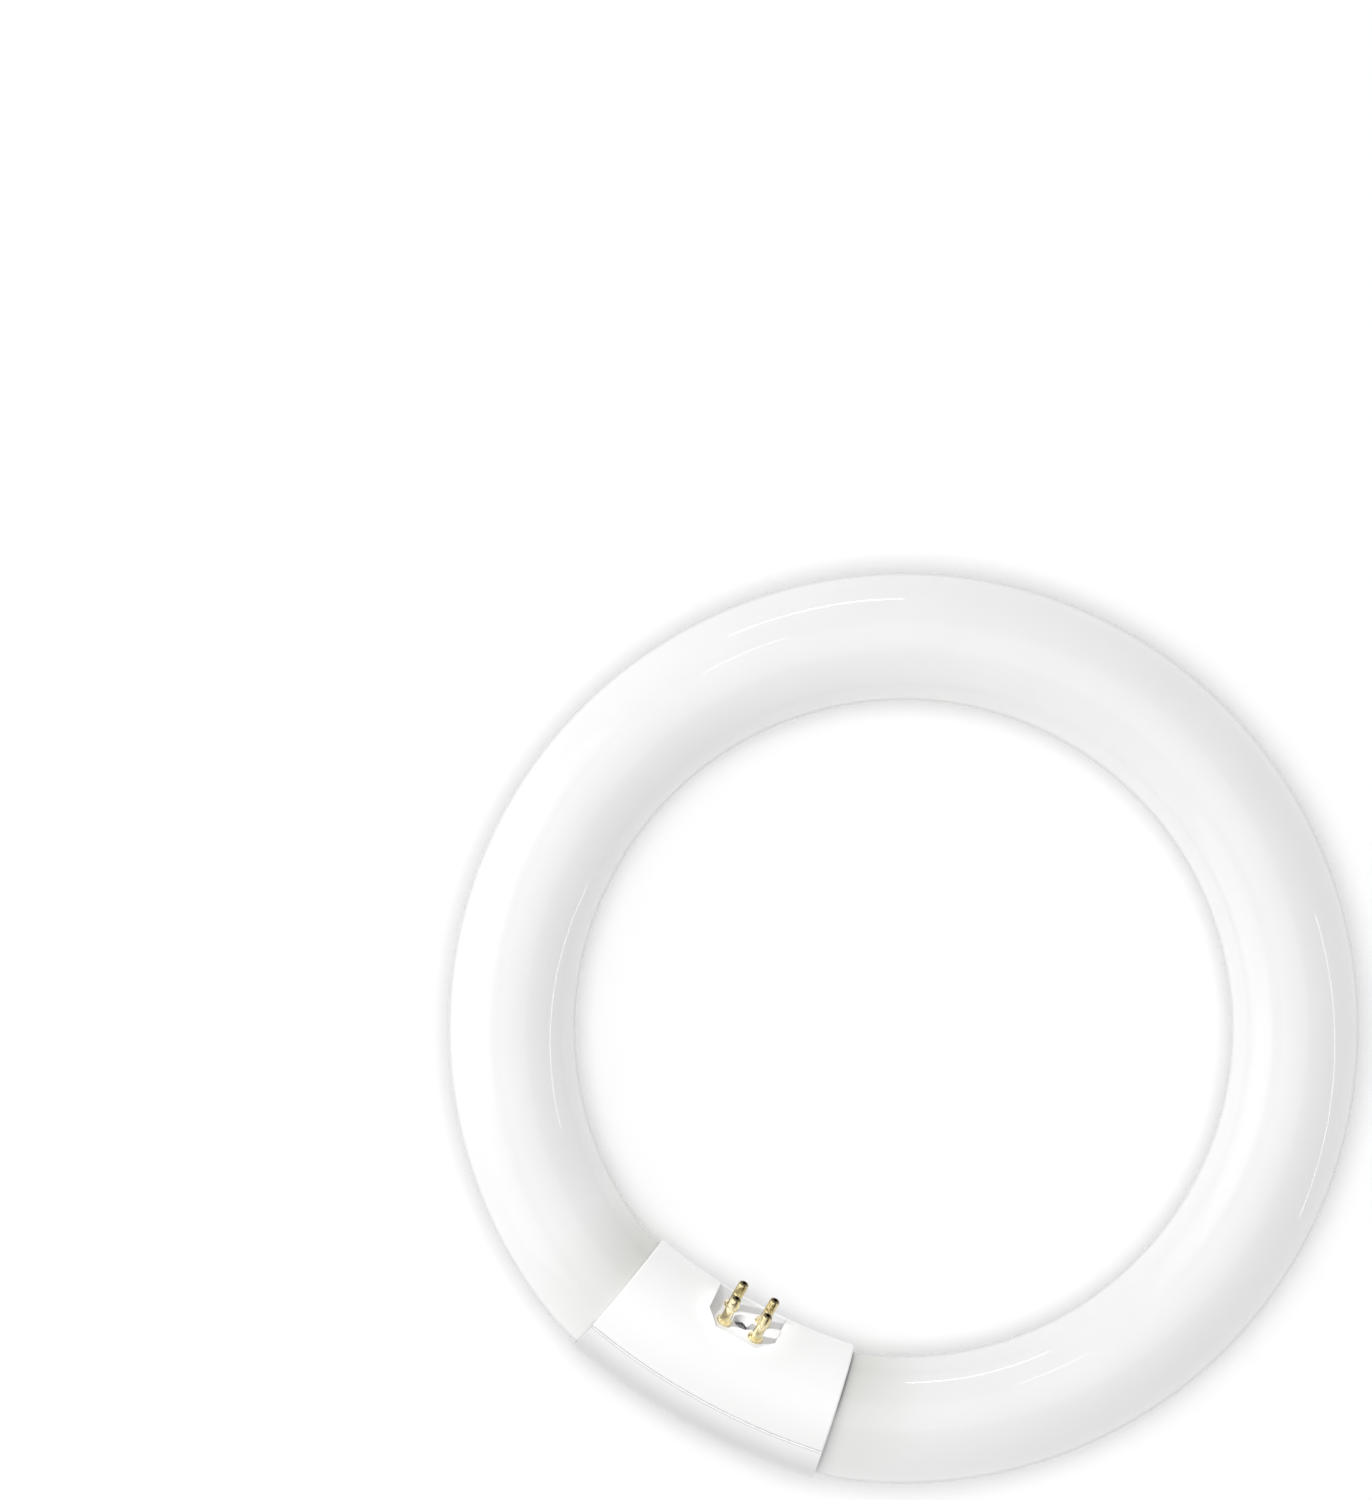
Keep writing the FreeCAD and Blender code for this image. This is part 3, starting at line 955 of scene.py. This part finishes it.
@dataclass(frozen=True)
class Finish:
    """One finish: two tones, a range of roughness and a relief, over Principled values."""

    name: str
    light: Color
    dark: Color
    mottle_scale: float
    rough_low: float
    rough_high: float
    rough_scale: float
    grain_scale: float
    wave_scale: float
    wave_share: float
    bump_distance: float
    bump_strength: float
    metallic: float = 0.0
    ior: float = 1.5
    coat: float = 0.0
    coat_roughness: float = 0.03

    def material(self, groups: EffectGroups) -> bpy.types.Material:
        """Build the material.

        Args:
            groups: The shared effects.

        Returns:
            A material on object coordinates, with colour, roughness and bump from the shared effects.
        """
        made = bpy.data.materials.new(self.name)
        made.use_nodes = True
        sheet = NodeSheet(made.node_tree)
        shader = made.node_tree.nodes["Principled BSDF"]
        sheet.feed(shader, {"Metallic": self.metallic, "IOR": self.ior})
        sheet.feed(shader, {"Coat Weight": self.coat, "Coat Roughness": self.coat_roughness})
        place = {"Vector": sheet.place()}
        tones = {"Scale": self.mottle_scale, "Light": self.light, "Dark": self.dark}
        rough = {"Scale": self.rough_scale, "Low": self.rough_low, "High": self.rough_high}
        waves = {"Wave Scale": self.wave_scale, "Wave Share": self.wave_share}
        color = sheet.effect(groups.mottle, {**place, **tones})
        roughness = sheet.effect(groups.drift, {**place, **rough})
        height = sheet.effect(groups.relief, {**place, "Grain Scale": self.grain_scale, **waves})
        bump = sheet.add("ShaderNodeBump")
        sheet.feed(bump, {"Strength": self.bump_strength, "Distance": self.bump_distance * MM})
        sheet.feed(bump, {"Height": height})
        sheet.feed(shader, {"Base Color": self.tint(sheet, color), "Normal": bump.outputs["Normal"]})
        sheet.feed(shader, {"Roughness": self.wear(sheet, roughness)})
        return made

    def tint(self, sheet: NodeSheet, color: Socket) -> Socket:
        """The base colour, for finishes that change it further."""
        return color

    def wear(self, sheet: NodeSheet, roughness: Socket) -> Socket:
        """The roughness, for finishes that change it further."""
        return roughness


@dataclass(frozen=True)
class GlassFinish(Finish):
    """Clear glass over a white coating that turns grey-green near the cap, with painted shade at cap and
    rims.
    """

    thin: Color = (0.7, 0.71, 0.665, 1.0)
    # Painted shade at the silhouettes, standing for the clear glass wall seen edge-on.
    edge_shade: Color = (0.5, 0.51, 0.5, 1.0)
    edge_start: float = 0.62
    edge_full: float = 0.86
    # Colour of the dark gap and of the painted shadow at the cap's right end.
    gap: Color = (0.12, 0.12, 0.14, 1.0)

    def tint(self, sheet: NodeSheet, color: Socket) -> Socket:
        """Mix in the thin coating, the dark gap with its painted shadow, and painted shade at the edge-on
        wall.

        Args:
            sheet: Writer for the material's tree.
            color: The coating's own colour.

        Returns:
            The base colour.
        """
        faded = sheet.mix(sheet.mark("near_cap"), color, self.thin)
        # Paint the gap and the shells' shadow at the right end.
        coated = sheet.mix(sheet.mark("gap_and_shadow"), faded, self.gap)
        # Paint shade by the facing, darkest where the glass is seen edge-on.
        slant = sheet.add("ShaderNodeLayerWeight").outputs["Facing"]
        return sheet.mix(sheet.ramp(slant, self.edge_start, self.edge_full), coated, self.edge_shade)


@dataclass(frozen=True)
class ShellFinish(Finish):
    """White moulded plastic, darker along the seam between the two shells, with painted shade in the recess.
    """

    # Darker along the seam between the shells.
    seam_darkening: Color = (0.74, 0.74, 0.73, 1.0)
    seam_width: float = 0.5
    # Painted shade in the recess round the pins.
    recess_painted_shade: Color = (0.72, 0.72, 0.735, 1.0)
    recess_start: float = 0.1
    recess_full: float = 0.6
    recess_reach: float = 9.0
    recess_inner: float = 8.6
    cap: CapFrame = CapFrame()

    def tint(self, sheet: NodeSheet, color: Socket) -> Socket:
        """Darken the seam by the height over it, and paint shade into the recess by its depth.

        On the bend the height is z sin(lean) - out cos(lean), with out = distance from the bend's axis -
        bend radius, and the depth is the cap's radius - length(out, z).

        Args:
            sheet: Writer for the material's tree.
            color: The plastic's own colour.

        Returns:
            The base colour.
        """
        lean = math.radians(self.cap.lean)
        place = sheet.place()
        moved = sheet.vector("SUBTRACT", place, (0.0, self.cap.bend_y * MM, 0.0)).outputs["Vector"]
        level = sheet.vector("MULTIPLY", moved, (1.0, 1.0, 0.0)).outputs["Vector"]
        split = sheet.add("ShaderNodeSeparateXYZ")
        sheet.feed(split, {"Vector": place})
        reach = sheet.vector("LENGTH", level).outputs["Value"]
        outward = sheet.math("SUBTRACT", reach, self.cap.bend_radius * MM)
        rise = sheet.math("MULTIPLY", split.outputs["Z"], math.sin(lean))
        height = sheet.math("SUBTRACT", rise, sheet.math("MULTIPLY", outward, math.cos(lean)))
        band = sheet.ramp(sheet.math("ABSOLUTE", height), self.seam_width, 0.0, MM)
        seamed = sheet.mix(band, color, self.seam_darkening)
        section = sheet.add("ShaderNodeCombineXYZ")
        sheet.feed(section, {"X": outward, "Y": split.outputs["Z"]})
        across = sheet.vector("LENGTH", section.outputs["Vector"]).outputs["Value"]
        edge = self.cap.radius
        deep = sheet.ramp(across, edge - self.recess_start, edge - self.recess_full, MM)
        aside = sheet.math("ABSOLUTE", split.outputs["X"])
        near = sheet.ramp(aside, self.recess_reach, self.recess_inner, MM)
        # Painted shade where the plastic lies deeper than the shell's outside, within the recess's width.
        return sheet.mix(sheet.math("MULTIPLY", deep, near), seamed, self.recess_painted_shade)


@dataclass(frozen=True)
class BrassFinish(Finish):
    """Bright brass, with painted dark reflections and tarnish on seam and tip, and painted shade in the bore.
    """

    # Painted dark reflections, with some tarnish, along the seam and on the tip.
    stain_and_reflection: Color = (0.05, 0.03, 0.012, 1.0)
    # Painted shade inside the hollow pin's bore.
    bore: Color = (0.02, 0.015, 0.01, 1.0)
    spot: Color = (0.2, 0.15, 0.06, 1.0)
    spot_scale: float = 700.0
    spot_detail: float = 2.0
    spot_start: float = 0.6
    spot_full: float = 0.72
    stain_roughness: float = 0.25

    def tint(self, sheet: NodeSheet, color: Socket) -> Socket:
        """Mix in tarnish spots, the painted dark reflections with their tarnish, and the painted shade of the
        bore.

        Args:
            sheet: Writer for the material's tree.
            color: The brass's own colour.

        Returns:
            The base colour.
        """
        noise = sheet.noise(sheet.place(), self.spot_scale, self.spot_detail)
        spotted = sheet.mix(sheet.ramp(noise, self.spot_start, self.spot_full), color, self.spot)
        # Paint the dark reflections and tarnish by the pin's own mark.
        stained = sheet.mix(sheet.mark("stain_and_reflection"), spotted, self.stain_and_reflection)
        # Paint the bore's inside nearly black, as shade.
        return sheet.mix(sheet.mark("inside"), stained, self.bore)

    def wear(self, sheet: NodeSheet, roughness: Socket) -> Socket:
        """Make the stained places duller."""
        return sheet.math("ADD", roughness, sheet.math("MULTIPLY", sheet.mark("stain_and_reflection"), self.stain_roughness))


COATED_GLASS = GlassFinish(
    name="coated_glass",
    light=(0.885, 0.888, 0.884, 1.0),
    dark=(0.872, 0.876, 0.87, 1.0),
    mottle_scale=55.0,
    rough_low=0.5,
    rough_high=0.62,
    rough_scale=90.0,
    grain_scale=60.0,
    wave_scale=38.0,
    wave_share=3.0,
    bump_distance=0.22,
    bump_strength=0.6,
    coat=1.0,
    coat_roughness=0.04,
)
CAP_PLASTIC = ShellFinish(
    name="cap_plastic",
    light=(0.905, 0.905, 0.903, 1.0),
    dark=(0.897, 0.897, 0.893, 1.0),
    mottle_scale=38.0,
    rough_low=0.28,
    rough_high=0.34,
    rough_scale=120.0,
    grain_scale=3200.0,
    wave_scale=120.0,
    wave_share=1.0,
    bump_distance=0.006,
    bump_strength=0.3,
)
# Painted shade: the pin shell's white plastic, made greyer because the back shell faces away from the lamps.
SHADED_BACK_PLASTIC = replace(
    CAP_PLASTIC,
    name="back_plastic_shaded",
    light=(0.75, 0.75, 0.755, 1.0),
    dark=(0.74, 0.74, 0.745, 1.0),
    seam_darkening=(0.46, 0.46, 0.46, 1.0),
    seam_width=0.8,
)
PIN_BRASS = BrassFinish(
    name="pin_brass",
    light=(1.0, 0.91, 0.62, 1.0),
    dark=(0.76, 0.65, 0.35, 1.0),
    mottle_scale=330.0,
    rough_low=0.08,
    rough_high=0.16,
    rough_scale=1500.0,
    grain_scale=5200.0,
    wave_scale=700.0,
    wave_share=1.5,
    bump_distance=0.012,
    bump_strength=0.4,
    metallic=1.0,
)
SCREW_STEEL = Finish(
    name="screw_steel",
    light=(0.34, 0.34, 0.36, 1.0),
    dark=(0.12, 0.12, 0.13, 1.0),
    mottle_scale=900.0,
    rough_low=0.2,
    rough_high=0.34,
    rough_scale=1800.0,
    grain_scale=4200.0,
    wave_scale=900.0,
    wave_share=1.0,
    bump_distance=0.012,
    bump_strength=0.4,
    metallic=1.0,
)
LEAD_WIRE = replace(
    SCREW_STEEL,
    name="lead_wire",
    light=(0.62, 0.6, 0.57, 1.0),
    dark=(0.5, 0.48, 0.45, 1.0),
    mottle_scale=800.0,
    rough_low=0.3,
    rough_high=0.45,
    rough_scale=1500.0,
    grain_scale=3600.0,
    wave_scale=600.0,
)


# Studio


class Reach(Enum):
    """What a lamp falls on."""

    PART = "everything but the floor"
    FRONT = "everything but the floor and the back shell"
    FLOOR = "the floor alone"
    FACE = "the pin shell alone"
    BACK = "the back shell alone"


@dataclass(frozen=True)
class Softbox:
    """A lamp: direction from the part in the picture's axes, distance, sides, power in watts and reach.

    A roll turns its long side up from level. A beam above 0 makes it a spot of that angle on the recess.
    """

    name: str
    azimuth: float
    elevation: float
    distance: float
    long_side: float
    short_side: float
    power: float
    reach: Reach = Reach.PART
    roll: float = 0.0
    beam: float = 0.0


# Name, azimuth, elevation, distance, long side, short side, power and reach of each lamp
LAMPS = (
    Softbox("key", 160.0, 32.0, 0.95, 0.8, 0.6, 0.9, Reach.FRONT),
    Softbox("cap_key", 119.0, 42.0, 0.95, 0.09, 0.09, 1.6, Reach.FACE),
    Softbox("recess_spot", 119.0, 42.0, 0.95, 0.008, 0.008, 36.0, Reach.FACE, beam=0.88),
    Softbox("band_soft", 61.0, 65.0, 1.1, 0.3, 0.3, 9.6, Reach.BACK),
    Softbox("left_soft", 182.0, 27.0, 1.1, 1.3, 0.9, 1.75, Reach.FRONT),
    Softbox("top_soft", 90.0, 86.0, 1.4, 1.2, 1.2, 2.4),
    Softbox("overhead", 90.0, 88.0, 1.4, 0.75, 0.75, 12.0, Reach.FLOOR),
    Softbox("top_strip", 100.0, 18.0, 1.1, 0.45, 0.03, 0.5),
    Softbox("high_strip", 110.0, 57.0, 1.1, 0.14, 0.04, 0.07),
    Softbox("right_strip", 354.0, 14.0, 1.1, 0.9, 0.03, 0.45, roll=32.0),
)


@dataclass
class Studio:
    """The pale floor, the soft light and the camera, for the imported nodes."""

    nodes: dict[str, bpy.types.Object]
    lamps: tuple[Softbox, ...] = LAMPS
    target: Point = (0.0, -0.03, 0.0)
    recess: Point = (0.002, -0.075, 0.0072)
    floor_z: float = -15.66
    floor_size: float = 1600.0
    floor_tone: float = 0.76
    floor_lift: float = 0.06
    floor_roughness: float = 0.9
    floor_specular: float = 0.1
    camera_height: float = 2.0
    camera_reach: float = 20.0
    pixels_per_mm: float = 4.449
    image: tuple[int, int] = (1372, 1500)
    ring_centre: tuple[float, float] = (903.5, 1028.0)
    right: Vector = field(default_factory=lambda: Vector((0.876, 0.482, 0)).normalized())
    up: Vector = field(default_factory=lambda: Vector((-0.482, 0.876, 0)).normalized())
    sky_level: float = 0.65
    sky_swing: float = 0.25
    sky_azimuth: float = 180.0
    sky_elevation: float = 35.0

    def camera(self) -> None:
        """Look straight down on the picture's middle, turned as the picture is.

        The middle lies at the ring's centre + (middle - centre in the picture) / pixels per millimetre.
        """
        data = bpy.data.cameras.new("camera")
        obj = linked("camera", data)
        width, height = self.image
        aside = (width / 2 - self.ring_centre[0]) / self.pixels_per_mm * MM
        above = -(height / 2 - self.ring_centre[1]) / self.pixels_per_mm * MM
        middle = self.right * aside + self.up * above
        data.sensor_fit = "VERTICAL"
        data.angle = 2 * math.atan(height / self.pixels_per_mm * MM / 2 / self.camera_height)
        data.clip_end = self.camera_reach
        matrix = Matrix.Identity(4)
        matrix.col[0][:3] = self.right
        matrix.col[1][:3] = self.up
        matrix.col[2][:3] = (0, 0, 1)
        matrix.col[3][:3] = (middle.x, middle.y, self.camera_height)
        obj.matrix_world = matrix
        bpy.context.scene.camera = obj

    def toward(self, azimuth: float, elevation: float) -> Vector:
        """Turn two angles into a direction: (right cos a + up sin a) cos e + Z sin e.

        Args:
            azimuth: The angle a from the picture's right.
            elevation: The angle e above the floor.

        Returns:
            A direction of length 1.
        """
        aside = math.radians(azimuth)
        rise = math.radians(elevation)
        flat = self.right * math.cos(aside) + self.up * math.sin(aside)
        return flat * math.cos(rise) + Vector((0, 0, math.sin(rise)))

    def lamp(self, lamp: Softbox, floor: bpy.types.Object) -> None:
        """Hang one lamp at target + direction * distance, facing the target.

        Args:
            lamp: The lamp's values.
            floor: The floor, which most lamps leave out.
        """
        light = bpy.data.lights.new(lamp.name, "SPOT" if lamp.beam else "AREA")
        light.energy = lamp.power
        if lamp.beam:
            light.spot_size = math.radians(lamp.beam)
            light.spot_blend = 1.0
            light.shadow_soft_size = lamp.short_side / 2
        else:
            light.shape = "RECTANGLE"
            light.size = lamp.long_side
            light.size_y = lamp.short_side
        obj = linked(lamp.name, light)
        way = self.toward(lamp.azimuth, lamp.elevation)
        obj.location = Vector(self.recess if lamp.beam else self.target) + way * lamp.distance
        facing = (-way).to_track_quat("-Z", "Y").to_matrix()
        obj.rotation_euler = (facing @ Matrix.Rotation(math.radians(lamp.roll), 3, "Z")).to_euler()
        obj.light_linking.receiver_collection = self.receivers(lamp, floor)

    def receivers(self, lamp: Softbox, floor: bpy.types.Object) -> bpy.types.Collection:
        """Say what a lamp falls on.

        Args:
            lamp: The lamp's values.
            floor: The floor, which most lamps leave out.

        Returns:
            A collection of light links.
        """
        links = bpy.data.collections.new(lamp.name + "_links")
        face, back = self.nodes["pin_shell"], self.nodes["back_shell"]
        members = {Reach.FRONT: [floor, back], Reach.FACE: [face], Reach.BACK: [back]}
        for member in members.get(lamp.reach, [floor]):
            links.objects.link(member)
        state = "EXCLUDE" if lamp.reach in (Reach.PART, Reach.FRONT) else "INCLUDE"
        for member in links.collection_objects:
            member.light_linking.link_state = state
        return links

    def seen_directly(self, sheet: NodeSheet) -> Socket:
        """Tell camera, glossy and transmission rays from the rest.

        Args:
            sheet: Writer for a tree.

        Returns:
            1 for those rays and 0 for the rest.
        """
        path = sheet.add("ShaderNodeLightPath").outputs
        first = sheet.math("MAXIMUM", path["Is Camera Ray"], path["Is Glossy Ray"])
        return sheet.math("MAXIMUM", first, path["Is Transmission Ray"])

    def world(self) -> None:
        """A white surround whose light is stronger from the side of the lamps.

        The level is sky_level + sky_swing * (direction . side of the lamps).
        """
        world = bpy.data.worlds.new("surround")
        bpy.context.scene.world = world
        world.use_nodes = True
        sheet = NodeSheet(world.node_tree)
        direction = sheet.add("ShaderNodeTexCoord").outputs["Generated"]
        side = self.toward(self.sky_azimuth, self.sky_elevation)
        across = sheet.vector("DOT_PRODUCT", direction, tuple(side)).outputs["Value"]
        level = sheet.math("ADD", sheet.math("MULTIPLY", across, self.sky_swing), self.sky_level)
        color = sheet.mix(self.seen_directly(sheet), level, WHITE)
        sheet.feed(world.node_tree.nodes["Background"], {"Color": color})

    def floor(self) -> bpy.types.Object:
        """Lay a pale floor under the object that looks white where nothing shades it.

        Returns:
            The floor.
        """
        half = self.floor_size / 2
        corners = [(x * half, y * half, self.floor_z) for x, y in ((-1, -1), (1, -1), (1, 1), (-1, 1))]
        mesh = bpy.data.meshes.new("floor")
        mesh.from_pydata((np.array(corners) * MM).tolist(), [], [(0, 1, 2, 3)])
        paint = bpy.data.materials.new("floor_paint")
        paint.use_nodes = True
        sheet = NodeSheet(paint.node_tree)
        shader = paint.node_tree.nodes["Principled BSDF"]
        sheet.feed(shader, {"Base Color": (self.floor_tone,) * 3 + (1.0,), "Roughness": self.floor_roughness})
        lift = sheet.mix(self.seen_directly(sheet), BLACK, (self.floor_lift,) * 3 + (1.0,))
        sheet.feed(shader, {"Emission Color": lift, "Emission Strength": 1.0})
        sheet.feed(shader, {"Specular IOR Level": self.floor_specular})
        mesh.materials.append(paint)
        obj = linked("floor", mesh)
        return obj

    def build(self) -> None:
        """Set up the whole studio with the plain view settings."""
        bpy.context.scene.view_settings.view_transform = "Standard"
        self.camera()
        floor = self.floor()
        for lamp in self.lamps:
            self.lamp(lamp, floor)
        self.world()


# The whole part


@dataclass
class CircularTube:
    """The dressed part: new surfaces for glass and pins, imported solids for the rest."""

    nodes: dict[str, bpy.types.Object]
    cap: CapFrame = field(default_factory=CapFrame)
    groups: EffectGroups = field(default_factory=EffectGroups)

    def place(self, piece: bpy.types.Object, node: str, slot: Slot, paint: bpy.types.Material) -> None:
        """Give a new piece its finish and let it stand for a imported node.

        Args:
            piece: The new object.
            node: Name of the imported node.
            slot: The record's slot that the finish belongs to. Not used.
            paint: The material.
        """
        piece.data.materials.append(paint)
        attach(piece, BODY)
        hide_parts(node)
        LOG.info("%s: %d faces, stands for %s", piece.name, len(piece.data.polygons), node)

    def dress(self, name: str, paint: bpy.types.Material) -> None:
        """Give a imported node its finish.

        Args:
            name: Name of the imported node.
            paint: The material.
        """
        node = self.nodes[name]
        if not node.material_slots:
            node.data.materials.append(paint)
        for slot in node.material_slots:
            slot.material = paint
        LOG.info("%s: packed solid with %s", name, paint.name)

    def build(self) -> None:
        """Build and dress every piece, the new ones first."""
        glass = GlassRing(self.cap).build()
        self.place(glass, "glass_tube", Slot.COATED_GLASS, COATED_GLASS.material(self.groups))
        brass = PIN_BRASS.material(self.groups)
        pin = ContactPin(self.cap)
        for place in PinPlace:
            self.place(pin.build(place), place.node, Slot.PIN_BRASS, brass)
        self.dress("pin_shell", CAP_PLASTIC.material(self.groups))
        self.dress("back_shell", SHADED_BACK_PLASTIC.material(self.groups))
        self.dress("clamp_screw", SCREW_STEEL.material(self.groups))
        wire = LEAD_WIRE.material(self.groups)
        for place in PinPlace:
            self.dress(place.lead, wire)


def main() -> None:
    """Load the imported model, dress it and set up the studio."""
    logging.basicConfig(level=logging.INFO, format="%(name)s: %(message)s")
    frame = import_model()
    Studio(frame["nodes"]).build()
    CircularTube(frame["nodes"]).build()


if __name__ == "__main__":
    main()
